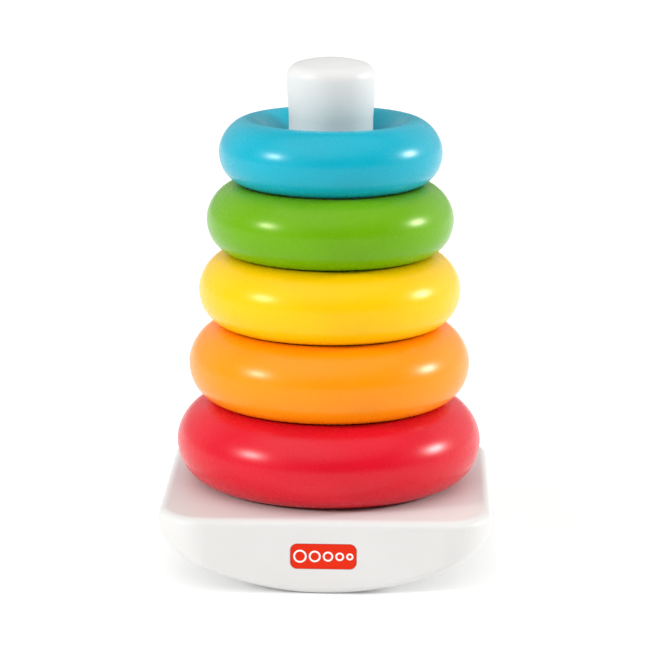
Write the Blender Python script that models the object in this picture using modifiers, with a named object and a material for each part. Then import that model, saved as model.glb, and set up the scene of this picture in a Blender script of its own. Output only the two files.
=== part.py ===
"""Stacking ring toy: five hollow rings on a post that stands on a rocking base.

Metres, +Z up. The origin is on the floor, under the middle of the base. The rocker's arc runs
along X, so the toy rocks from side to side. The label is on the front wall, which faces -Y.
"""

import math

import bmesh
import bpy
from mathutils import Vector

MM = 0.001

# Clearances
GAP = 0.3 * MM
CROWN_GAP = 0.1 * MM
MERGE = 0.02 * MM

# Base shell: a rounded square tray, upside down, with an arched lower edge
BASE_HALF = 65.0 * MM
BASE_CORNER = 19.5 * MM
BASE_TOP = 29.3 * MM
BASE_WALL = 2.6 * MM
TOP_EDGE = 3.6 * MM
BOTTOM_EDGE = 3.0 * MM
CORNER_STEPS = 6
EDGE_STEPS = 3

# Rocker arc, made of equal flats with one of them under the middle
ROCKER_RADIUS = 118.0 * MM
ROCKER_STEP = math.radians(3.0)
ROCKER_FLATS_EACH_SIDE = 10

# Post: a hollow turned column, whose foot is trapped between the shell and the rocker plate
POST_TOP = 199.4 * MM
POST_ROOT_R = 17.3 * MM
POST_WAIST_R = 16.6 * MM
POST_WAIST_Z = 174.0 * MM
POST_HEAD_R = 17.6 * MM
POST_DOME_R = 46.0 * MM
POST_CROWN_EDGE = 5.6 * MM
POST_WALL = 2.2 * MM
POST_STEPS = 32
DOME_STEPS = 3
CROWN_STEPS = 4
NECK_STEPS = 4
FLANGE_R = 18.7 * MM
FLANGE_THICK = 2.3 * MM

# What holds the post's foot
COLLAR_R = 20.4 * MM
COLLAR_BORE_R = POST_ROOT_R + 0.4 * MM
COLLAR_LOW = 19.0 * MM
CRADLE_TOP = COLLAR_LOW - 2 * GAP - FLANGE_THICK
CRADLE_BORE_R = 17.0 * MM
CRADLE_FLOOR = 4.4 * MM

# Screws, one near each corner, from below
SCREW_X = 24.0 * MM
SCREW_Y = 44.0 * MM
SCREW_HEAD_R = 3.2 * MM
SCREW_HEAD_HEIGHT = 2.2 * MM
SCREW_SHANK_R = 1.5 * MM
SCREW_LENGTH = 14.0 * MM
SCREW_TIP = 2.0 * MM
SCREW_STEPS = 12
# The pan head's outline under its rim, as shares of the head's radius and height
SCREW_HEAD_CURVE = ((1.0, 0.45), (0.8, 0.85), (0.5, 1.0), (0.0, 1.0))
CROSS_WIDTH = 0.8 * MM
CROSS_SPAN = 3.4 * MM
CROSS_DEPTH = 1.2 * MM
POCKET_R = 5.4 * MM
POCKET_BORE_R = 4.0 * MM
POCKET_ROOF = 9.0 * MM
POCKET_TOP = 14.0 * MM
POCKET_STEPS = 20
BOSS_R = 4.5 * MM
BOSS_STEPS = 16
PILOT_TOP = 25.0 * MM
HOLE_STEPS = 12

# Label on the front wall, in a shallow recess
LABEL_WIDTH = 25.4 * MM
LABEL_HEIGHT = 9.9 * MM
LABEL_CORNER = 2.6 * MM
LABEL_CORNER_STEPS = 4
LABEL_THICK = 0.4 * MM
LABEL_Z = 15.3 * MM

# Rings, from the lowest up: name, outer radius, half width and half height of the section
RING_SIZES = (
    ("ring_red", 60.8 * MM, 14.8 * MM, 16.35 * MM),
    ("ring_orange", 56.0 * MM, 13.4 * MM, 15.3 * MM),
    ("ring_yellow", 52.1 * MM, 12.6 * MM, 14.35 * MM),
    ("ring_green", 49.0 * MM, 12.1 * MM, 13.8 * MM),
    ("ring_blue", 44.2 * MM, 11.3 * MM, 12.85 * MM),
)
RING_WALL = 2.0 * MM
# The section's superellipse powers: its lower half is a little fuller than its upper half
RING_POWER_UP = 1.8
RING_POWER_DOWN = 2.05
RING_STEPS = 36
RING_OUTER_POINTS = 16
RING_INNER_POINTS = 8
VENT_R = 1.5 * MM
VENT_STEPS = 8

# Edges flatter than this look smooth
SMOOTH_ANGLE = math.radians(35.0)

# sRGB colours, 0 to 255, and roughnesses
WHITE = (236, 235, 232)
LABEL_RED = (226, 48, 32)
STEEL = (170, 170, 168)
RING_COLOURS = {
    "ring_red": (222, 28, 52),
    "ring_orange": (254, 143, 23),
    "ring_yellow": (246, 198, 0),
    "ring_green": (100, 167, 0),
    "ring_blue": (0, 165, 191),
}
WHITE_ROUGHNESS = 0.42
LABEL_ROUGHNESS = 0.35
STEEL_ROUGHNESS = 0.3
RING_ROUGHNESS = 0.3


def clear_scene():
    for item in list(bpy.data.objects):
        bpy.data.objects.remove(item, do_unlink=True)


def new_collection(name):
    collection = bpy.data.collections.new(name)
    bpy.context.scene.collection.children.link(collection)
    return collection


def linear(channel):
    value = channel / 255.0
    if value <= 0.04045:
        return value / 12.92
    return ((value + 0.055) / 1.055) ** 2.4


def plastic(name, colour, roughness, metallic=0.0):
    material = bpy.data.materials.new(name)
    material.use_nodes = True
    shader = material.node_tree.nodes["Principled BSDF"]
    shader.inputs["Base Color"].default_value = [linear(c) for c in colour] + [1.0]
    shader.inputs["Roughness"].default_value = roughness
    shader.inputs["Metallic"].default_value = metallic
    return material


def add_mesh(name, mesh, collection, material=None, location=(0.0, 0.0, 0.0)):
    item = bpy.data.objects.new(name, mesh)
    item.location = location
    if material:
        mesh.materials.append(material)
    collection.objects.link(item)
    return item


def mesh_from(bm, name, smooth=False):
    bm.normal_update()
    bmesh.ops.recalc_face_normals(bm, faces=bm.faces)
    mesh = bpy.data.meshes.new(name)
    bm.to_mesh(mesh)
    bm.free()
    if smooth:
        mesh.shade_smooth()
        mesh.set_sharp_from_angle(angle=SMOOTH_ANGLE)
    return mesh


def add_tool(name, mesh, tools):
    tool = add_mesh(name, mesh, tools)
    tool.hide_render = True
    tool.display_type = "WIRE"
    return tool


def combine(target, tool, operation):
    step = target.modifiers.new(tool.name, "BOOLEAN")
    step.operation = operation
    step.solver = "EXACT"
    step.object = tool


def rocker_height(x):
    """Height of the rocker's underside above the floor at x, zero over the middle flat."""
    flat_half = ROCKER_RADIUS * math.sin(ROCKER_STEP / 2)
    arc = math.sqrt(ROCKER_RADIUS**2 - x**2)
    return math.sqrt(ROCKER_RADIUS**2 - flat_half**2) - arc


def level_edges(bm, height):
    return [e for e in bm.edges if all(abs(v.co.z - height) < MERGE for v in e.verts)]


def rounded_block(half_x, half_y, corner, low, high, corner_steps=CORNER_STEPS):
    """A box primitive with its four upright edges rounded."""
    bm = bmesh.new()
    bmesh.ops.create_cube(bm, size=2.0)
    middle = Vector((0.0, 0.0, (low + high) / 2))
    bmesh.ops.scale(bm, vec=(half_x, half_y, (high - low) / 2), verts=bm.verts)
    bmesh.ops.translate(bm, vec=middle, verts=bm.verts)
    upright = [e for e in bm.edges if abs(e.verts[0].co.z - e.verts[1].co.z) > MERGE]
    bmesh.ops.bevel(
        bm, geom=upright, offset=corner, segments=corner_steps, profile=0.5, affect="EDGES"
    )
    return bm


def round_level_edge(bm, height, radius):
    edge_loop = level_edges(bm, height)
    bmesh.ops.bevel(
        bm, geom=edge_loop, offset=radius, segments=EDGE_STEPS, profile=0.5, affect="EDGES"
    )


def arch(bm, below):
    """Cut the faces under a height at each rocker flat's end, and lift them onto the arc."""
    for side in (-1, 1):
        for k in range(ROCKER_FLATS_EACH_SIDE + 1):
            x = side * ROCKER_RADIUS * math.sin(ROCKER_STEP * (k + 0.5))
            faces = [f for f in bm.faces if min(v.co.z for v in f.verts) < below]
            edges = {e for f in faces for e in f.edges}
            verts = {v for f in faces for v in f.verts}
            bmesh.ops.bisect_plane(
                bm,
                geom=list(verts) + list(edges) + faces,
                dist=MERGE,
                plane_co=(x, 0.0, 0.0),
                plane_no=(1.0, 0.0, 0.0),
            )
    for v in bm.verts:
        if v.co.z < below:
            v.co.z += rocker_height(v.co.x)


def cylinders(places, radius, low, high, steps):
    """One mesh with an upright cylinder at each (x, y)."""
    bm = bmesh.new()
    for x, y in places:
        made = bmesh.ops.create_cone(
            bm,
            cap_ends=True,
            segments=steps,
            radius1=radius,
            radius2=radius,
            depth=high - low,
        )
        bmesh.ops.translate(bm, vec=(x, y, (low + high) / 2), verts=made["verts"])
    return bm


def add_turned(name, profiles, steps, collection, material=None, location=(0.0, 0.0, 0.0)):
    """Turn closed or open (x, z) profiles about Z with a Screw modifier."""
    bm = bmesh.new()
    for points, closed in profiles:
        row = [bm.verts.new((x, 0.0, z)) for x, z in points]
        for first, second in zip(row, row[1:]):
            bm.edges.new((first, second))
        if closed:
            bm.edges.new((row[-1], row[0]))
    mesh = bpy.data.meshes.new(name)
    bm.to_mesh(mesh)
    bm.free()
    item = add_mesh(name, mesh, collection, material, location)
    screw = item.modifiers.new("turn", "SCREW")
    screw.axis = "Z"
    screw.steps = steps
    screw.render_steps = steps
    screw.use_merge_vertices = True
    screw.merge_threshold = MERGE
    screw.use_smooth_shade = True
    return item


def arc_points(centre, radius, start, end, count):
    """Points on a circle from start to end, in radians from +X towards +Z."""
    points = []
    for k in range(count + 1):
        angle = start + (end - start) * k / count
        x = centre[0] + radius * math.cos(angle)
        points.append((x, centre[1] + radius * math.sin(angle)))
    return points


def ring_section(middle_r, half_width, half_height, count, direction):
    """A closed superellipse, started at its outer side, going down for direction -1."""
    points = []
    for k in range(count):
        angle = direction * 2 * math.pi * k / count
        c = math.cos(angle)
        s = math.sin(angle)
        power = RING_POWER_UP if s > 0 else RING_POWER_DOWN
        x = middle_r + math.copysign(half_width * abs(c) ** (2 / power), c)
        z = math.copysign(half_height * abs(s) ** (2 / power), s)
        points.append((x, z))
    return points


def screw_places():
    return [(sx * SCREW_X, sy * SCREW_Y) for sy in (-1, 1) for sx in (-1, 1)]


def build_base_shell(parts, tools, material):
    """Top plate and walls, with a collar for the post and four screw bosses."""
    bm = rounded_block(BASE_HALF, BASE_HALF, BASE_CORNER, 0.0, BASE_TOP)
    round_level_edge(bm, BASE_TOP, TOP_EDGE)
    round_level_edge(bm, 0.0, BOTTOM_EDGE)
    arch(bm, BASE_TOP / 2)
    shell = add_mesh("base_shell", mesh_from(bm, "base_shell", True), parts, material)

    inner_half = BASE_HALF - BASE_WALL
    plate_under = BASE_TOP - BASE_WALL
    into_plate = (plate_under + BASE_TOP) / 2
    bm = rounded_block(inner_half, inner_half, BASE_CORNER - BASE_WALL, -BASE_TOP, plate_under)
    combine(shell, add_tool("shell_cavity", mesh_from(bm, "shell_cavity"), tools), "DIFFERENCE")

    bm = cylinders([(0.0, 0.0)], COLLAR_R, COLLAR_LOW, into_plate, POST_STEPS)
    combine(shell, add_tool("collar_body", mesh_from(bm, "collar_body"), tools), "UNION")
    bm = cylinders([(0.0, 0.0)], COLLAR_BORE_R, COLLAR_LOW / 2, 2 * BASE_TOP, POST_STEPS)
    combine(shell, add_tool("collar_bore", mesh_from(bm, "collar_bore"), tools), "DIFFERENCE")

    bm = cylinders(screw_places(), BOSS_R, POCKET_TOP + GAP, into_plate, BOSS_STEPS)
    combine(shell, add_tool("boss_bodies", mesh_from(bm, "boss_bodies"), tools), "UNION")
    bm = cylinders(screw_places(), SCREW_SHANK_R + GAP, POCKET_TOP / 2, PILOT_TOP, HOLE_STEPS)
    combine(shell, add_tool("pilot_holes", mesh_from(bm, "pilot_holes"), tools), "DIFFERENCE")

    bm = label_block(GAP, LABEL_THICK + GAP)
    combine(shell, add_tool("label_recess", mesh_from(bm, "label_recess"), tools), "DIFFERENCE")


def label_block(grow, depth):
    """The label's outline, grown all round, from the wall's face to a depth behind it.

    Grown blocks are cutters, so they also stand proud of the wall by the same amount.
    """
    half_x = LABEL_WIDTH / 2 + grow
    half_z = LABEL_HEIGHT / 2 + grow
    bm = rounded_block(half_x, half_z, LABEL_CORNER + grow, -grow, depth, LABEL_CORNER_STEPS)
    for v in bm.verts:
        v.co = Vector((v.co.x, v.co.z - BASE_HALF, v.co.y + LABEL_Z))
    return bm


def build_label(parts, material):
    bm = label_block(0.0, LABEL_THICK)
    add_mesh("label", mesh_from(bm, "label", True), parts, material)


def build_rocker_plate(parts, tools, material):
    """Arched plate inside the walls, with the post's cradle and four screw pockets."""
    half = BASE_HALF - BASE_WALL - GAP
    bm = rounded_block(half, half, BASE_CORNER - BASE_WALL - GAP, 0.0, BASE_WALL)
    arch(bm, 2 * BASE_WALL)
    plate = add_mesh("rocker_plate", mesh_from(bm, "rocker_plate", True), parts, material)

    in_middle = (rocker_height(COLLAR_R) + BASE_WALL) / 2
    bm = cylinders([(0.0, 0.0)], COLLAR_R, in_middle, CRADLE_TOP, POST_STEPS)
    combine(plate, add_tool("cradle_body", mesh_from(bm, "cradle_body"), tools), "UNION")
    bm = cylinders([(0.0, 0.0)], CRADLE_BORE_R, CRADLE_FLOOR, 2 * CRADLE_TOP, POST_STEPS)
    combine(plate, add_tool("cradle_bore", mesh_from(bm, "cradle_bore"), tools), "DIFFERENCE")

    under_outer_side = rocker_height(SCREW_X + POCKET_R)
    over_inner_side = rocker_height(SCREW_X - POCKET_R) + BASE_WALL
    in_slope = (under_outer_side + over_inner_side) / 2
    bm = cylinders(screw_places(), POCKET_R, in_slope, POCKET_TOP, POCKET_STEPS)
    combine(plate, add_tool("pocket_bodies", mesh_from(bm, "pocket_bodies"), tools), "UNION")
    bm = cylinders(screw_places(), POCKET_BORE_R, -POCKET_ROOF, POCKET_ROOF, POCKET_STEPS)
    combine(plate, add_tool("pocket_bores", mesh_from(bm, "pocket_bores"), tools), "DIFFERENCE")
    hole_top = 2 * POCKET_TOP
    bm = cylinders(screw_places(), SCREW_SHANK_R + GAP, POCKET_ROOF / 2, hole_top, HOLE_STEPS)
    combine(plate, add_tool("screw_holes", mesh_from(bm, "screw_holes"), tools), "DIFFERENCE")


def build_post(parts, material):
    """Waisted hollow column with a domed head, a foot flange and an open lower end."""
    flange_low = CRADLE_TOP + GAP
    flange_high = flange_low + FLANGE_THICK
    edge_x = POST_HEAD_R - POST_CROWN_EDGE
    tilt = math.asin(edge_x / (POST_DOME_R - POST_CROWN_EDGE))
    edge_z = POST_TOP - POST_DOME_R + (POST_DOME_R - POST_CROWN_EDGE) * math.cos(tilt)
    straight_up = math.pi / 2
    rim = straight_up - tilt
    outer = arc_points((0.0, POST_TOP - POST_DOME_R), POST_DOME_R, straight_up, rim, DOME_STEPS)
    outer += arc_points((edge_x, edge_z), POST_CROWN_EDGE, rim, 0.0, CROWN_STEPS)[1:]
    for k in range(1, NECK_STEPS + 1):
        t = k / NECK_STEPS
        blend = (1 - math.cos(math.pi * t)) / 2
        r = POST_HEAD_R + (POST_WAIST_R - POST_HEAD_R) * blend
        outer.append((r, edge_z + (POST_WAIST_Z - edge_z) * t))
    outer.append((POST_ROOT_R, BASE_TOP))
    outer.append((POST_ROOT_R, flange_high))
    outer.append((FLANGE_R, flange_high))
    outer.append((FLANGE_R, flange_low))

    inner_r = POST_ROOT_R - POST_WALL
    inner_top_r = POST_WAIST_R - POST_WALL
    roof = POST_TOP - 2 * POST_WALL
    inner = [(inner_r, flange_low), (inner_top_r, POST_WAIST_Z)]
    inner += [(inner_top_r, roof - POST_CROWN_EDGE)]
    inner += [(inner_top_r - POST_CROWN_EDGE, roof), (0.0, roof)]
    add_turned("post", [(outer + inner, False)], POST_STEPS, parts, material)


def build_screw(name, x, y, parts, tools, material):
    """Pan-head self-tapping screw, head down, with a cross recess."""
    under_head = POCKET_ROOF - GAP
    head_low = -SCREW_HEAD_HEIGHT
    shank_end = SCREW_LENGTH - SCREW_TIP
    profile = [(0.0, SCREW_LENGTH), (SCREW_SHANK_R, shank_end), (SCREW_SHANK_R, 0.0)]
    profile += [(SCREW_HEAD_R, 0.0)]
    profile += [(SCREW_HEAD_R * across, head_low * down) for across, down in SCREW_HEAD_CURVE]
    place = (x, y, under_head)
    screw = add_turned(name, [(profile, False)], SCREW_STEPS, parts, material, place)
    bm = bmesh.new()
    for span_x, span_y in ((CROSS_SPAN, CROSS_WIDTH), (CROSS_WIDTH, CROSS_SPAN)):
        made = bmesh.ops.create_cube(bm, size=1.0)
        bmesh.ops.scale(bm, vec=(span_x, span_y, 2 * CROSS_DEPTH), verts=made["verts"])
        bmesh.ops.translate(
            bm, vec=(x, y, under_head - SCREW_HEAD_HEIGHT), verts=made["verts"]
        )
    cross = add_tool(name + "_cross", mesh_from(bm, name + "_cross"), tools)
    combine(screw, cross, "DIFFERENCE")
    screw.modifiers[cross.name].use_self = True


def build_ring(size, centre_z, parts, tools, material):
    """Hollow blown ring, with the small blow-pin hole on the side that faces the post."""
    name, outer_r, half_width, half_height = size
    middle_r = outer_r - half_width
    skin = ring_section(middle_r, half_width, half_height, RING_OUTER_POINTS, -1)
    hollow = ring_section(
        middle_r, half_width - RING_WALL, half_height - RING_WALL, RING_INNER_POINTS, 1
    )
    ring = add_turned(
        name, [(skin, True), (hollow, True)], RING_STEPS, parts, material, (0.0, 0.0, centre_z)
    )
    hole_r = middle_r - half_width
    bm = cylinders([(0.0, 0.0)], VENT_R, -2 * RING_WALL, 2 * RING_WALL, VENT_STEPS)
    for v in bm.verts:
        v.co = Vector((v.co.x, v.co.z + hole_r, v.co.y + centre_z))
    vent = add_tool(name + "_vent", mesh_from(bm, name + "_vent"), tools)
    combine(ring, vent, "DIFFERENCE")


def main():
    clear_scene()
    parts = new_collection("stacking_ring_toy")
    tools = new_collection("cutters")
    white = plastic("white_plastic", WHITE, WHITE_ROUGHNESS)
    build_base_shell(parts, tools, white)
    build_rocker_plate(parts, tools, white)
    build_post(parts, white)
    build_label(parts, plastic("label_print", LABEL_RED, LABEL_ROUGHNESS))
    steel = plastic("screw_steel", STEEL, STEEL_ROUGHNESS, 1.0)
    for number, (x, y) in enumerate(screw_places(), 1):
        build_screw(f"base_screw_{number}", x, y, parts, tools, steel)

    floor = BASE_TOP + GAP
    for size in RING_SIZES:
        name = size[0]
        half_height = size[3]
        material = plastic(name + "_plastic", RING_COLOURS[name], RING_ROUGHNESS)
        build_ring(size, floor + half_height, parts, tools, material)
        floor += 2 * half_height + CROWN_GAP


main()
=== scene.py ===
"""Looks for the stacking ring toy: fine meshes, procedural plastics, soft studio light.

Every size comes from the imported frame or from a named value. Metres, +Z up, -Y is the front.
"""

import math
from collections import namedtuple

import bmesh
import bpy
from mathutils import Matrix, Vector


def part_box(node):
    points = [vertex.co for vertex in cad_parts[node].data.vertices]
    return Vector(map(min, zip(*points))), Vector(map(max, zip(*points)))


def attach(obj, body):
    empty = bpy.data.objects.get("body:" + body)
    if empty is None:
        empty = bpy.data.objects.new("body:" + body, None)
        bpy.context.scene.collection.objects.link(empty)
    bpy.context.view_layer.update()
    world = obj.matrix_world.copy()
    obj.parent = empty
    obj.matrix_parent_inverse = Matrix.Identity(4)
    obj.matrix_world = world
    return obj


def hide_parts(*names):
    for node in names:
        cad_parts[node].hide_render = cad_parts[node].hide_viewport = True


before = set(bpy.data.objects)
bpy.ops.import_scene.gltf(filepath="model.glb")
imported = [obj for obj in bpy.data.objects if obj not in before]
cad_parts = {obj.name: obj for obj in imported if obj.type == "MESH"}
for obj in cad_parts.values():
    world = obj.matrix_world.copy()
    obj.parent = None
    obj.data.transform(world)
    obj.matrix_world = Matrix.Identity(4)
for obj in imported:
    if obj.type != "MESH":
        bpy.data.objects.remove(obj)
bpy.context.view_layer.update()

MM = 0.001

# Camera, fitted to the view from the front and a little above. Lens and sensor are in millimetres.
CAMERA_AZIMUTH = math.radians(1.6)
CAMERA_ELEVATION = math.radians(12.76)
CAMERA_ROLL = math.radians(0.4)
CAMERA_DISTANCE = 1236.5 * MM
CAMERA_LENS = 171.4
CAMERA_SENSOR = 36.0
CAMERA_AIM_RIGHT = -1.8 * MM
CAMERA_AIM_HEIGHT = 91.9 * MM
CAMERA_NEAR = 10.0 * MM
CAMERA_FAR = 50.0

# Base
BASE_CORNER = 19.5 * MM
BASE_WALL = 2.6 * MM
TOP_EDGE = 3.6 * MM
BOTTOM_EDGE = 3.0 * MM
PLATE_EDGE = 0.4 * MM
ROCKER_RADIUS = 118.0 * MM
ROCKER_FLAT_HALF = 3.09 * MM
GAP = 0.3 * MM

# Post
POST_ROOT_R = 17.3 * MM
POST_WAIST_R = 16.6 * MM
POST_WAIST_Z = 174.0 * MM
POST_HEAD_R = 17.6 * MM
POST_DOME_R = 46.0 * MM
POST_CROWN_EDGE = 5.6 * MM
POST_WALL = 2.2 * MM
POST_ROOF = 2 * POST_WALL
FLANGE_THICK = 2.3 * MM

# What holds the post's foot: a collar in the shell above it, a cradle on the plate below it
COLLAR_R = 20.4 * MM
COLLAR_LOW = 19.0 * MM
COLLAR_BORE_R = POST_ROOT_R + 0.4 * MM
CRADLE_TOP = COLLAR_LOW - 2 * GAP - FLANGE_THICK
CRADLE_BORE_R = 17.0 * MM
CRADLE_FLOOR = 4.4 * MM

# Screws and what they pass through
SCREW_X = 24.0 * MM
SCREW_Y = 44.0 * MM
SCREW_SHANK_R = 1.5 * MM
SCREW_CORE_R = 1.1 * MM
SCREW_TIP = 2.0 * MM
PILOT_TOP = 25.0 * MM
BOSS_R = 4.5 * MM
POCKET_R = 5.4 * MM
POCKET_BORE_R = 4.0 * MM
POCKET_ROOF = 9.0 * MM
POCKET_TOP = 14.0 * MM

# Thread: turns, then where the crest starts and ends and where the root starts, in pitches
THREAD_TURNS = 9
CREST_START = 0.45
CREST_END = 0.55
ROOT_START = 0.95

# Screw head: height, the straight rim's share of it, and how boxy the dome is (1 is an ellipse)
SCREW_HEAD_HEIGHT = 2.2 * MM
HEAD_RIM = 0.4
HEAD_POWER = 0.7

# Cross recess: depth, half sizes of its two arms at the mouth, and the share left at the bottom
CROSS_DEPTH = 1.2 * MM
CROSS_ARMS = ((1.7 * MM, 0.4 * MM), (0.4 * MM, 1.7 * MM))
CROSS_TAPER = 0.55

# Label, and the marks printed on it. The slope is the share of a line that rises on either side.
LABEL_CORNER = 2.6 * MM
LABEL_GAP = 0.15 * MM
MARK_RADII = (2.6 * MM, 2.3 * MM, 2.0 * MM, 1.7 * MM, 1.4 * MM)
MARK_LINE = 0.7 * MM
MARK_SPACE = 0.8 * MM
MARK_PROUD = 0.05 * MM
MARK_SLOPE = 0.2

# Rings: superellipse powers above and below the middle, and how far a ring reaches past its box
RING_POWER_UP = 1.8
RING_POWER_DOWN = 2.05
TOUCH = 0.04 * MM
RING_WALL = 2.0 * MM
VENT_R = 1.5 * MM

# How finely round shapes are divided
SLICE_STEP = math.radians(1.0)
SLICES_EACH_SIDE = 33
CORNER_STEPS = 24
INNER_CORNER_STEPS = 16
LABEL_CORNER_STEPS = 10
TOP_EDGE_STEPS = 10
BOTTOM_EDGE_STEPS = 8
PLATE_EDGE_STEPS = 2
COLLAR_STEPS = 96
POCKET_STEPS = 48
BOSS_STEPS = 32
HOLE_STEPS = 24
POST_STEPS = 128
DOME_STEPS = 12
CROWN_STEPS = 16
FLARE_STEPS = 12
TAPER_STEPS = 8
RING_STEPS = 176
RING_SECTION_STEPS = 72
HOLLOW_STEPS = 88
HOLLOW_SECTION_STEPS = 24
MARK_STEPS = 48
SCREW_STEPS = 40
HEAD_STEPS = 8
FLOOR_STEPS = 96

# Distances under which heights count as level, and points as one
MERGE = 0.01 * MM
WELD = 0.002 * MM
SPUN_WELD = 0.001 * MM

# Edges sharper than this, in degrees, stay crisp
SMOOTH_ANGLE = 35.0
RING_SMOOTH_ANGLE = 60.0

# Noises: scale, detail, roughness. Below them, the middle part of a noise's range that is used.
CLOUDS = (45.0, 3.0, 0.5)
RUBBING = (160.0, 4.0, 0.65)
GRAIN = (2600.0, 2.0, 0.5)
RIPPLES = (38.0, 1.0, 0.5)
MOTTLE = (900.0, 3.0, 0.5)
NOISE_LOW = 0.3
NOISE_HIGH = 0.7
# Bumps: strength, distance
RIPPLE_BUMP = (0.25, 0.15 * MM)
GRAIN_BUMP = (0.15, 0.003 * MM)
# Uneven gloss: least and most roughness, as shares of the plastic's own
LEAST_ROUGH = 0.93
MOST_ROUGH = 1.08

STEEL_DARK = (0.42, 0.42, 0.40)
STEEL_LIGHT = (0.58, 0.58, 0.57)
STEEL_ROUGHNESS = (0.28, 0.42)

# Plastics. Tint colours the gloss, and variation is the share by which the colour clouds.
Look = namedtuple("Look", "colour roughness specular tint variation")
NO_TINT = (1.0, 1.0, 1.0)
WHITE_LOOK = Look((0.715, 0.715, 0.703), 0.42, 0.45, NO_TINT, 0.012)
LABEL_LOOK = Look((0.73, 0.021, 0.001), 0.5, 0.15, NO_TINT, 0.02)
INK_LOOK = Look((0.88, 0.87, 0.85), 0.45, 0.3, NO_TINT, 0.02)
RING_ROUGHNESS = 0.27
RING_SPECULAR = 0.36
RING_VARIATION = 0.02
# Rings: node, colour, tint
RING_LOOKS = (
    ("ring_red", (0.68, 0.002, 0.018), (1.0, 0.88, 0.88)),
    ("ring_orange", (0.96, 0.285, 0.000), (1.0, 0.94, 0.75)),
    ("ring_yellow", (0.94, 0.550, 0.000), (1.0, 0.97, 0.6)),
    ("ring_green", (0.138, 0.388, 0.000), (1.0, 1.0, 0.6)),
    ("ring_blue", (0.0, 0.390, 0.522), (0.9, 1.0, 1.0)),
)

# Floor: a wide disc just under the toy that glows a little by itself
FLOOR_RADIUS = 6.0
FLOOR_DROP = 0.1 * MM
FLOOR_ALBEDO = 0.95
FLOOR_ROUGHNESS = 0.9
FLOOR_GLOW = 0.08

# Soft sky: azimuth and elevation, full and fading half-angles in degrees, radiance
SKY_REST = 0.16
SKY_PATCHES = (
    (0.0, 72.0, 26.0, 50.0, 1.06),
    (-84.0, 14.0, 24.0, 60.0, 0.20),
    (100.0, 14.0, 22.0, 54.0, 0.40),
    (-45.0, 45.0, 18.0, 45.0, 0.45),
    (-140.0, 20.0, 18.0, 45.0, 0.45),
    (140.0, 20.0, 18.0, 45.0, 0.50),
)
# Lamps: name, azimuth and elevation in degrees, distance, width, height, radiance
LAMPS = (
    ("left_lamp", -62.0, 24.0, 6.0, 1.3, 0.9, 44.0),
    ("right_lamp", 94.0, 20.0, 6.0, 1.3, 0.9, 52.0),
)
LAMP_AIM_HEIGHT = 90.0 * MM


# ---------------------------------------------------------------- materials


def new_material(name):
    """A new material, given as the material, its node tree, its shader and object coordinates."""
    material = bpy.data.materials.new(name)
    material.use_nodes = True
    tree = material.node_tree
    coords = tree.nodes.new("ShaderNodeTexCoord").outputs["Object"]
    return material, tree, tree.nodes["Principled BSDF"], coords


def noise(tree, coords, scale, detail, roughness):
    """A noise over the given coordinates."""
    node = tree.nodes.new("ShaderNodeTexNoise")
    node.inputs["Scale"].default_value = scale
    node.inputs["Detail"].default_value = detail
    node.inputs["Roughness"].default_value = roughness
    tree.links.new(coords, node.inputs["Vector"])
    return node.outputs["Fac"]


def remap(tree, value, low, high):
    """Spread the middle part of a noise's range from low to high."""
    node = tree.nodes.new("ShaderNodeMapRange")
    node.inputs["From Min"].default_value = NOISE_LOW
    node.inputs["From Max"].default_value = NOISE_HIGH
    node.inputs["To Min"].default_value = low
    node.inputs["To Max"].default_value = high
    tree.links.new(value, node.inputs["Value"])
    return node.outputs["Result"]


def blend(tree, value, first, second):
    """Mix two colours by a noise."""
    node = tree.nodes.new("ShaderNodeMix")
    node.data_type = "RGBA"
    node.inputs["A"].default_value = [*first, 1.0]
    node.inputs["B"].default_value = [*second, 1.0]
    tree.links.new(remap(tree, value, 0.0, 1.0), node.inputs["Factor"])
    return node.outputs["Result"]


def bump(tree, height, strength, distance):
    """A bump node that takes its height from a noise."""
    node = tree.nodes.new("ShaderNodeBump")
    node.inputs["Strength"].default_value = strength
    node.inputs["Distance"].default_value = distance
    tree.links.new(height, node.inputs["Height"])
    return node


def plastic(name, look):
    """Moulded plastic: cloudy colour, uneven gloss, a fine grain and slow ripples in the skin."""
    material, tree, shader, coords = new_material(name)
    darker = [c * (1 - look.variation) for c in look.colour]
    lighter = [min(1.0, c * (1 + look.variation)) for c in look.colour]
    colour = blend(tree, noise(tree, coords, *CLOUDS), darker, lighter)
    tree.links.new(colour, shader.inputs["Base Color"])

    rubbed = noise(tree, coords, *RUBBING)
    gloss = remap(tree, rubbed, look.roughness * LEAST_ROUGH, look.roughness * MOST_ROUGH)
    tree.links.new(gloss, shader.inputs["Roughness"])
    shader.inputs["Specular IOR Level"].default_value = look.specular
    shader.inputs["Specular Tint"].default_value = [*look.tint, 1.0]

    ripples = bump(tree, noise(tree, coords, *RIPPLES), *RIPPLE_BUMP)
    grain = bump(tree, noise(tree, coords, *GRAIN), *GRAIN_BUMP)
    tree.links.new(ripples.outputs["Normal"], grain.inputs["Normal"])
    tree.links.new(grain.outputs["Normal"], shader.inputs["Normal"])
    return material


def steel(name):
    """Zinc-plated steel, mottled in colour and gloss."""
    material, tree, shader, coords = new_material(name)
    shader.inputs["Metallic"].default_value = 1.0
    mottle = noise(tree, coords, *MOTTLE)
    colour = blend(tree, mottle, STEEL_DARK, STEEL_LIGHT)
    tree.links.new(colour, shader.inputs["Base Color"])
    tree.links.new(remap(tree, mottle, *STEEL_ROUGHNESS), shader.inputs["Roughness"])
    return material


# ------------------------------------------------------------------ meshes


def shade(mesh, smooth_angle):
    """Smooth shading that keeps edges sharper than the angle crisp."""
    mesh.shade_smooth()
    mesh.set_sharp_from_angle(angle=math.radians(smooth_angle))


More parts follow.
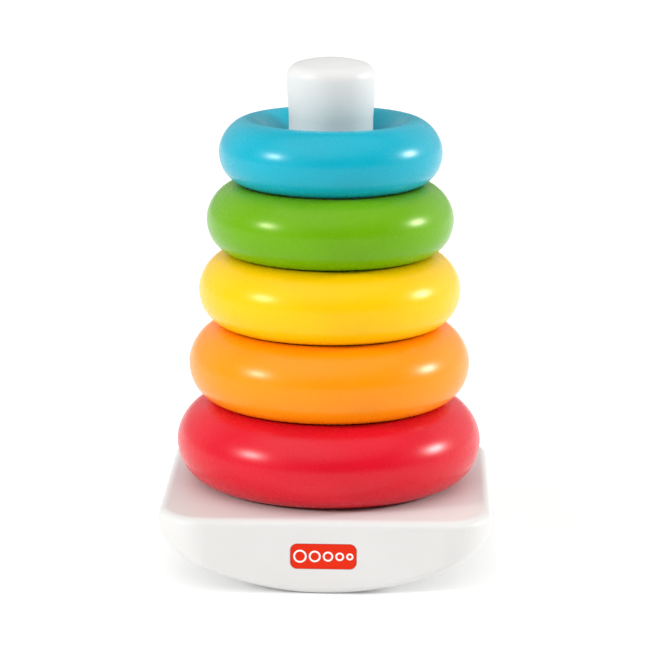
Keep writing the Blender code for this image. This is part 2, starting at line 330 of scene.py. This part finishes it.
def add_object(name, bm, material, smooth_angle=SMOOTH_ANGLE):
    """Turn a bmesh into an object in the scene, and free the bmesh."""
    mesh = bpy.data.meshes.new(name)
    bm.normal_update()
    bmesh.ops.recalc_face_normals(bm, faces=bm.faces)
    bm.to_mesh(mesh)
    bm.free()
    item = bpy.data.objects.new(name, mesh)
    bpy.context.scene.collection.objects.link(item)
    mesh.materials.append(material)
    shade(mesh, smooth_angle)
    return item


def weld(mesh):
    """Close up the needle-thin faces that a Boolean leaves where surfaces just meet."""
    bm = bmesh.new()
    bm.from_mesh(mesh)
    bmesh.ops.remove_doubles(bm, verts=bm.verts, dist=WELD)
    bmesh.ops.dissolve_degenerate(bm, edges=bm.edges, dist=WELD)
    bm.to_mesh(mesh)
    bm.free()


def cut(item, tools, smooth_angle=SMOOTH_ANGLE):
    """Apply Boolean steps, given as (operation, bmesh), and drop the tools."""
    made = []
    for number, (operation, bm) in enumerate(tools):
        tool = add_object(f"tool_{number}", bm, item.data.materials[0])
        step = item.modifiers.new(tool.name, "BOOLEAN")
        step.operation = operation
        step.solver = "EXACT"
        step.object = tool
        made.append(tool)
    depsgraph = bpy.context.evaluated_depsgraph_get()
    mesh = bpy.data.meshes.new_from_object(item.evaluated_get(depsgraph))
    item.modifiers.clear()
    weld(mesh)
    item.data = mesh
    for tool in made:
        bpy.data.objects.remove(tool)
    shade(mesh, smooth_angle)


def spun(points, closed, steps):
    """Turn a profile of (x, z) points about Z."""
    bm = bmesh.new()
    row = [bm.verts.new((x, 0.0, z)) for x, z in points]
    pairs = list(zip(row, row[1:]))
    if closed:
        pairs.append((row[-1], row[0]))
    edges = [bm.edges.new(pair) for pair in pairs]
    bmesh.ops.spin(
        bm,
        geom=row + edges,
        cent=(0.0, 0.0, 0.0),
        axis=(0.0, 0.0, 1.0),
        angle=2 * math.pi,
        steps=steps,
        use_merge=True,
    )
    bmesh.ops.remove_doubles(bm, verts=bm.verts, dist=SPUN_WELD)
    return bm


def arc_points(centre, radius, start, end, steps):
    """Points on a circle from start to end, in degrees from +X towards +Z."""
    points = []
    for k in range(steps + 1):
        angle = math.radians(start + (end - start) * k / steps)
        x = centre[0] + radius * math.cos(angle)
        points.append((x, centre[1] + radius * math.sin(angle)))
    return points


def round_edges(bm, edges, radius, steps):
    """Round edges between faces that meet square."""
    bmesh.ops.bevel(bm, geom=edges, offset=radius, segments=steps, profile=0.5, affect="EDGES")


def rounded_block(half_x, half_y, corner, low, high, steps):
    """A block from low to high with its four upright edges rounded."""
    bm = bmesh.new()
    bmesh.ops.create_cube(bm, size=2.0)
    bmesh.ops.scale(bm, vec=(half_x, half_y, (high - low) / 2), verts=bm.verts)
    bmesh.ops.translate(bm, vec=(0.0, 0.0, (low + high) / 2), verts=bm.verts)
    upright = [e for e in bm.edges if abs(e.verts[0].co.z - e.verts[1].co.z) > MERGE]
    round_edges(bm, upright, corner, steps)
    return bm


def round_level_edge(bm, height, radius, steps):
    """Round the loop of edges that lies level at a height."""
    edge_loop = [e for e in bm.edges if all(abs(v.co.z - height) < MERGE for v in e.verts)]
    round_edges(bm, edge_loop, radius, steps)


def rocker_height(x):
    """Height of the rocker's underside above the floor at x, zero over the middle flat."""
    arc = math.sqrt(ROCKER_RADIUS**2 - x**2)
    return max(0.0, math.sqrt(ROCKER_RADIUS**2 - ROCKER_FLAT_HALF**2) - arc)


def arch(bm, below):
    """Cut what is under a height into strips along X, and lift it onto the rocker's arc."""
    for side in (-1, 1):
        for k in range(SLICES_EACH_SIDE):
            angle = math.asin(ROCKER_FLAT_HALF / ROCKER_RADIUS) + SLICE_STEP * k
            faces = [f for f in bm.faces if min(v.co.z for v in f.verts) < below]
            edges = {e for f in faces for e in f.edges}
            verts = {v for f in faces for v in f.verts}
            bmesh.ops.bisect_plane(
                bm,
                geom=list(verts) + list(edges) + faces,
                dist=MERGE,
                plane_co=(side * ROCKER_RADIUS * math.sin(angle), 0.0, 0.0),
                plane_no=(1.0, 0.0, 0.0),
            )
    for v in bm.verts:
        if v.co.z < below:
            v.co.z += rocker_height(v.co.x)


def cylinders(places, radius, low, high, steps):
    """Upright cylinders from low to high, one at each place."""
    bm = bmesh.new()
    for x, y in places:
        made = bmesh.ops.create_cone(
            bm,
            cap_ends=True,
            segments=steps,
            radius1=radius,
            radius2=radius,
            depth=high - low,
        )
        bmesh.ops.translate(bm, vec=(x, y, (low + high) / 2), verts=made["verts"])
    return bm


def cylinder(radius, low, high, steps):
    """One upright cylinder on the Z axis."""
    return cylinders([(0.0, 0.0)], radius, low, high, steps)


# ------------------------------------------------------------------ pieces


def screw_places():
    """Where the four screws stand, as (x, y)."""
    return [(sx * SCREW_X, sy * SCREW_Y) for sy in (-1, 1) for sx in (-1, 1)]


def label_block(grow, depth):
    """The label's outline, grown all round, from just before the front wall to a depth in it."""
    low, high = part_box("label")
    middle = (low + high) / 2
    half = (high - low) / 2
    corner = LABEL_CORNER + grow
    bm = rounded_block(half.x + grow, half.z + grow, corner, -grow, depth, LABEL_CORNER_STEPS)
    for v in bm.verts:
        v.co = Vector((v.co.x, v.co.z + low.y, v.co.y + middle.z))
    return bm


def shell_tools(half, top):
    """What hollows the base shell and gives it a collar, bosses and the label's recess."""
    inner = half - BASE_WALL
    corner = BASE_CORNER - BASE_WALL
    into_top = top - BASE_WALL / 2
    bore_low = COLLAR_LOW / 2
    pilot_r = SCREW_SHANK_R + GAP
    places = screw_places()
    label_low, label_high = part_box("label")
    recess = label_high.y - label_low.y + GAP
    cavity = rounded_block(inner, inner, corner, -top, top - BASE_WALL, INNER_CORNER_STEPS)
    return [
        ("DIFFERENCE", cavity),
        ("UNION", cylinder(COLLAR_R, COLLAR_LOW, into_top, COLLAR_STEPS)),
        ("DIFFERENCE", cylinder(COLLAR_BORE_R, bore_low, 2 * top, COLLAR_STEPS)),
        ("UNION", cylinders(places, BOSS_R, POCKET_TOP + GAP, into_top, BOSS_STEPS)),
        ("DIFFERENCE", cylinders(places, pilot_r, POCKET_TOP / 2, PILOT_TOP, HOLE_STEPS)),
        ("DIFFERENCE", label_block(LABEL_GAP, recess)),
    ]


def build_base_shell(material):
    """The upper moulding: a rounded square tray, upside down, with its rim on the rocker's arc."""
    _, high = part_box("base_shell")
    half = high.x
    top = high.z
    bm = rounded_block(half, half, BASE_CORNER, 0.0, top, CORNER_STEPS)
    round_level_edge(bm, top, TOP_EDGE, TOP_EDGE_STEPS)
    round_level_edge(bm, 0.0, BOTTOM_EDGE, BOTTOM_EDGE_STEPS)
    arch(bm, top / 2)
    shell = add_object("base_shell_fine", bm, material)
    cut(shell, shell_tools(half, top))
    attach(shell, "base")
    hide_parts("base_shell")


def plate_tools():
    """What gives the rocker plate its cradle and its screw pockets."""
    in_middle = (rocker_height(COLLAR_R) + BASE_WALL) / 2
    slope_low = rocker_height(SCREW_X - POCKET_R)
    slope_high = rocker_height(SCREW_X + POCKET_R)
    in_slope = (slope_low + slope_high + BASE_WALL) / 2
    hole_r = SCREW_SHANK_R + GAP
    places = screw_places()
    return [
        ("UNION", cylinder(COLLAR_R, in_middle, CRADLE_TOP, COLLAR_STEPS)),
        ("DIFFERENCE", cylinder(CRADLE_BORE_R, CRADLE_FLOOR, 2 * CRADLE_TOP, COLLAR_STEPS)),
        ("UNION", cylinders(places, POCKET_R, in_slope, POCKET_TOP, POCKET_STEPS)),
        ("DIFFERENCE", cylinders(places, POCKET_BORE_R, -POCKET_ROOF, POCKET_ROOF, POCKET_STEPS)),
        ("DIFFERENCE", cylinders(places, hole_r, POCKET_ROOF / 2, 2 * POCKET_TOP, HOLE_STEPS)),
    ]


def build_rocker_plate(material):
    """The lower moulding: a thin curved plate that closes the shell."""
    _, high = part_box("rocker_plate")
    half = high.x
    corner = BASE_CORNER - BASE_WALL - GAP
    bm = rounded_block(half, half, corner, 0.0, BASE_WALL, INNER_CORNER_STEPS)
    round_level_edge(bm, 0.0, PLATE_EDGE, PLATE_EDGE_STEPS)
    arch(bm, 2 * BASE_WALL)
    plate = add_object("rocker_plate_fine", bm, material)
    cut(plate, plate_tools())
    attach(plate, "base")
    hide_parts("rocker_plate")


def post_outside(top, flange_low, flange_r):
    """The post's outside, from the top of its dome down to the underside of its flange."""
    edge_x = POST_HEAD_R - POST_CROWN_EDGE
    tilt = math.asin(edge_x / (POST_DOME_R - POST_CROWN_EDGE))
    edge_z = top - POST_DOME_R + (POST_DOME_R - POST_CROWN_EDGE) * math.cos(tilt)
    edge_deg = 90.0 - math.degrees(tilt)
    points = arc_points((0.0, top - POST_DOME_R), POST_DOME_R, 90.0, edge_deg, DOME_STEPS)
    points += arc_points((edge_x, edge_z), POST_CROWN_EDGE, edge_deg, 0.0, CROWN_STEPS)[1:]
    for k in range(1, FLARE_STEPS + 1):
        t = k / FLARE_STEPS
        ease = (1 - math.cos(math.pi * t)) / 2
        r = POST_HEAD_R + (POST_WAIST_R - POST_HEAD_R) * ease
        points.append((r, edge_z + (POST_WAIST_Z - edge_z) * t))
    root_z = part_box("base_shell")[1].z
    for k in range(1, TAPER_STEPS + 1):
        t = k / TAPER_STEPS
        r = POST_WAIST_R + (POST_ROOT_R - POST_WAIST_R) * t
        points.append((r, POST_WAIST_Z + (root_z - POST_WAIST_Z) * t))
    flange_high = flange_low + FLANGE_THICK
    points += [(POST_ROOT_R, flange_high), (flange_r, flange_high), (flange_r, flange_low)]
    return points


def post_inside(top, flange_low):
    """The post's inside, from its open foot up to the middle of its roof."""
    root_r = POST_ROOT_R - POST_WALL
    waist_r = POST_WAIST_R - POST_WALL
    roof = top - POST_ROOF
    return [
        (root_r, flange_low),
        (waist_r, POST_WAIST_Z),
        (waist_r, roof - POST_CROWN_EDGE),
        (waist_r - POST_CROWN_EDGE, roof),
        (0.0, roof),
    ]


def build_post(material):
    """The hollow column with a softly flared, domed head and a flange at its foot."""
    low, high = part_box("post")
    outline = post_outside(high.z, low.z, high.x) + post_inside(high.z, low.z)
    post = add_object("post_fine", spun(outline, False, POST_STEPS), material)
    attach(post, "base")
    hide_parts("post")


def ring_section(middle_r, half_width, half_height, steps, direction):
    """A closed superellipse, started at its outer side, going down for direction -1."""
    points = []
    for k in range(steps):
        angle = direction * 2 * math.pi * k / steps
        c = math.cos(angle)
        s = math.sin(angle)
        power = RING_POWER_UP if s > 0 else RING_POWER_DOWN
        x = middle_r + math.copysign(half_width * abs(c) ** (2 / power), c)
        z = math.copysign(half_height * abs(s) ** (2 / power), s)
        points.append((x, z))
    return points


def turned_ring(section, centre_z, steps):
    """A section turned about Z and lifted to the ring's middle."""
    bm = spun(section, True, steps)
    bmesh.ops.translate(bm, vec=(0.0, 0.0, centre_z), verts=bm.verts)
    return bm


def build_ring(node, body, material):
    """A hollow ring, with an air vent in the wall of its hole."""
    low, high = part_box(node)
    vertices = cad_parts[node].data.vertices
    hole_r = min(math.hypot(v.co.x, v.co.y) for v in vertices)
    half_width = (high.x - hole_r) / 2
    half_height = (high.z - low.z) / 2 + TOUCH
    centre_z = (high.z + low.z) / 2
    middle_r = high.x - half_width
    skin = ring_section(middle_r, half_width, half_height, RING_SECTION_STEPS, -1)
    inner_size = (half_width - RING_WALL, half_height - RING_WALL)
    hollow = ring_section(middle_r, *inner_size, HOLLOW_SECTION_STEPS, 1)
    bm = turned_ring(skin, centre_z, RING_STEPS)
    ring = add_object(node + "_fine", bm, material, RING_SMOOTH_ANGLE)
    void = turned_ring(hollow, centre_z, HOLLOW_STEPS)
    vent = cylinder(VENT_R, -2 * RING_WALL, 2 * RING_WALL, HOLE_STEPS)
    for v in vent.verts:
        v.co = Vector((v.co.x, v.co.z + hole_r, v.co.y + centre_z))
    cut(ring, [("DIFFERENCE", void), ("DIFFERENCE", vent)], RING_SMOOTH_ANGLE)
    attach(ring, body)
    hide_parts(node)


def build_label(film, ink):
    """The red film, and a generic row of graded rings printed on it."""
    low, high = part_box("label")
    label = add_object("label_fine", label_block(0.0, high.y - low.y), film)
    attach(label, "base")
    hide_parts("label")
    print_bm = bmesh.new()
    x = -sum(2 * r + MARK_SPACE for r in MARK_RADII) / 2
    for r in MARK_RADII:
        x += r + MARK_SPACE / 2
        add_mark(print_bm, r, Vector((x, low.y, (low.z + high.z) / 2)))
        x += r + MARK_SPACE / 2
    marks = add_object("label_marks", print_bm, ink)
    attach(marks, "base")


def add_mark(bm, radius, centre):
    """A printed ring with sloped edges, standing a hair proud of the film."""
    section = [
        (radius - MARK_LINE, 0.0),
        (radius - MARK_LINE * (1 - MARK_SLOPE), MARK_PROUD),
        (radius - MARK_LINE * MARK_SLOPE, MARK_PROUD),
        (radius, 0.0),
    ]
    turned = spun(section, True, MARK_STEPS)
    for v in turned.verts:
        v.co = centre + Vector((v.co.x, -v.co.z, v.co.y))
    mesh = bpy.data.meshes.new("mark")
    turned.to_mesh(mesh)
    turned.free()
    bm.from_mesh(mesh)
    bpy.data.meshes.remove(mesh)


def screw_profile(low_z, high_z, head_r):
    """Half of a screw's section, from its flat tip down the thread to the middle of its head."""
    under_head = low_z + SCREW_HEAD_HEIGHT
    pitch = (high_z - under_head - SCREW_TIP) / THREAD_TURNS
    points = [(0.0, high_z)]
    for k in range(THREAD_TURNS):
        top = high_z - SCREW_TIP - k * pitch
        points.append((SCREW_CORE_R, top))
        points.append((SCREW_SHANK_R, top - CREST_START * pitch))
        points.append((SCREW_SHANK_R, top - CREST_END * pitch))
        points.append((SCREW_CORE_R, top - ROOT_START * pitch))
    points += [(SCREW_CORE_R, under_head), (head_r, under_head)]
    for k in range(HEAD_STEPS):
        angle = math.radians(90.0 * k / HEAD_STEPS)
        drop = HEAD_RIM + (1 - HEAD_RIM) * math.sin(angle)
        r = head_r * math.cos(angle) ** HEAD_POWER
        points.append((r, under_head - SCREW_HEAD_HEIGHT * drop))
    points.append((0.0, low_z))
    return points


def cross_arm(x, y, z, half_x, half_y):
    """One tapered arm of the cross recess, opening downwards at z."""
    bm = bmesh.new()
    bmesh.ops.create_cube(bm, size=2.0)
    for v in bm.verts:
        taper = 1.0 if v.co.z < 0 else CROSS_TAPER
        v.co = Vector((v.co.x * half_x * taper + x, v.co.y * half_y * taper + y, v.co.z))
        v.co.z = z + (CROSS_DEPTH if v.co.z > 0 else -CROSS_DEPTH)
    return bm


def build_screws(material):
    """Pan-head screws with a domed head, a cross recess and a thread."""
    for number, (x, y) in enumerate(screw_places(), 1):
        node = f"base_screw_{number}"
        low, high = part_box(node)
        profile = screw_profile(low.z, high.z, (high.x - low.x) / 2)
        bm = spun(profile, False, SCREW_STEPS)
        bmesh.ops.translate(bm, vec=(x, y, 0.0), verts=bm.verts)
        screw = add_object(node + "_fine", bm, material)
        cross = [("DIFFERENCE", cross_arm(x, y, low.z, *arm)) for arm in CROSS_ARMS]
        cut(screw, cross)
        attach(screw, "base")
        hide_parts(node)


# ------------------------------------------------------------------- stage


def add_floor():
    """A plain pale floor."""
    bm = bmesh.new()
    bmesh.ops.create_circle(bm, cap_ends=True, segments=FLOOR_STEPS, radius=FLOOR_RADIUS)
    bmesh.ops.translate(bm, vec=(0.0, 0.0, -FLOOR_DROP), verts=bm.verts)
    material = bpy.data.materials.new("floor")
    material.use_nodes = True
    shader = material.node_tree.nodes["Principled BSDF"]
    shader.inputs["Base Color"].default_value = (FLOOR_ALBEDO, FLOOR_ALBEDO, FLOOR_ALBEDO, 1.0)
    shader.inputs["Emission Color"].default_value = (1.0, 1.0, 1.0, 1.0)
    shader.inputs["Emission Strength"].default_value = FLOOR_GLOW
    shader.inputs["Roughness"].default_value = FLOOR_ROUGHNESS
    shader.inputs["Specular IOR Level"].default_value = 0.0
    floor = add_object("floor", bm, material)


def look_from(azimuth, elevation, distance, aim):
    """A place and a rotation that look at aim. Azimuth 0 is the front, positive is to the right."""
    away = Vector(
        (
            math.sin(azimuth) * math.cos(elevation),
            -math.cos(azimuth) * math.cos(elevation),
            math.sin(elevation),
        )
    )
    rotation = away.to_track_quat("Z", "Y").to_matrix().to_4x4()
    return Matrix.Translation(aim + away * distance) @ rotation


def add_softbox(name, azimuth, elevation, distance, width, height, radiance):
    """An area light, given by how bright its face is."""
    data = bpy.data.lights.new(name, "AREA")
    data.shape = "RECTANGLE"
    data.size = width
    data.size_y = height
    data.energy = radiance * math.pi * width * height
    light = bpy.data.objects.new(name, data)
    aim = Vector((0.0, 0.0, LAMP_AIM_HEIGHT))
    place = look_from(math.radians(azimuth), math.radians(elevation), distance, aim)
    light.matrix_world = place
    bpy.context.scene.collection.objects.link(light)


def sky_patch(tree, direction, azimuth, elevation, inner, outer, radiance):
    """Soft round patch of sky: full inside the inner half-angle, nothing past the outer one."""
    towards = look_from(math.radians(azimuth), math.radians(elevation), 1.0, Vector())
    dot = tree.nodes.new("ShaderNodeVectorMath")
    dot.operation = "DOT_PRODUCT"
    tree.links.new(direction, dot.inputs[0])
    dot.inputs[1].default_value = towards.to_translation()
    fade = tree.nodes.new("ShaderNodeMapRange")
    fade.interpolation_type = "SMOOTHSTEP"
    fade.inputs["From Min"].default_value = math.cos(math.radians(outer))
    fade.inputs["From Max"].default_value = math.cos(math.radians(inner))
    fade.inputs["To Max"].default_value = radiance
    tree.links.new(dot.outputs["Value"], fade.inputs["Value"])
    return fade.outputs["Result"]


def add_sky():
    """An even soft glow with brighter patches, summed patch by patch."""
    world = bpy.data.worlds.new("studio")
    world.use_nodes = True
    tree = world.node_tree
    direction = tree.nodes.new("ShaderNodeTexCoord").outputs["Generated"]
    background = tree.nodes["Background"]
    background.inputs["Color"].default_value = (1.0, 1.0, 1.0, 1.0)
    total = None
    for patch in SKY_PATCHES:
        add = tree.nodes.new("ShaderNodeMath")
        add.operation = "ADD"
        add.inputs[0].default_value = SKY_REST
        if total:
            tree.links.new(total, add.inputs[0])
        tree.links.new(sky_patch(tree, direction, *patch), add.inputs[1])
        total = add.outputs["Value"]
    tree.links.new(total, background.inputs["Strength"])
    bpy.context.scene.world = world


def add_camera():
    """The camera, at the front and a little above."""
    data = bpy.data.cameras.new("camera")
    data.lens = CAMERA_LENS
    data.sensor_width = CAMERA_SENSOR
    data.clip_start = CAMERA_NEAR
    data.clip_end = CAMERA_FAR
    camera = bpy.data.objects.new("camera", data)
    right = Vector((math.cos(CAMERA_AZIMUTH), math.sin(CAMERA_AZIMUTH), 0.0))
    aim = right * CAMERA_AIM_RIGHT + Vector((0.0, 0.0, CAMERA_AIM_HEIGHT))
    place = look_from(CAMERA_AZIMUTH, CAMERA_ELEVATION, CAMERA_DISTANCE, aim)
    camera.matrix_world = place @ Matrix.Rotation(CAMERA_ROLL, 4, "Z")
    bpy.context.scene.collection.objects.link(camera)
    bpy.context.scene.camera = camera


def build_toy():
    """Every piece of the toy, each with its material."""
    white = plastic("white_plastic", WHITE_LOOK)
    build_base_shell(white)
    build_rocker_plate(white)
    build_post(white)
    build_label(plastic("label_print", LABEL_LOOK), plastic("label_ink", INK_LOOK))
    build_screws(steel("screw_steel"))
    for node, colour, tint in RING_LOOKS:
        look = Look(colour, RING_ROUGHNESS, RING_SPECULAR, tint, RING_VARIATION)
        body = node.replace("ring_", "") + "_ring"
        build_ring(node, body, plastic(node + "_plastic", look))


def main():
    """The studio, then the toy."""
    bpy.context.scene.view_settings.view_transform = "Standard"
    add_camera()
    add_sky()
    for lamp in LAMPS:
        add_softbox(*lamp)
    add_floor()
    build_toy()


main()
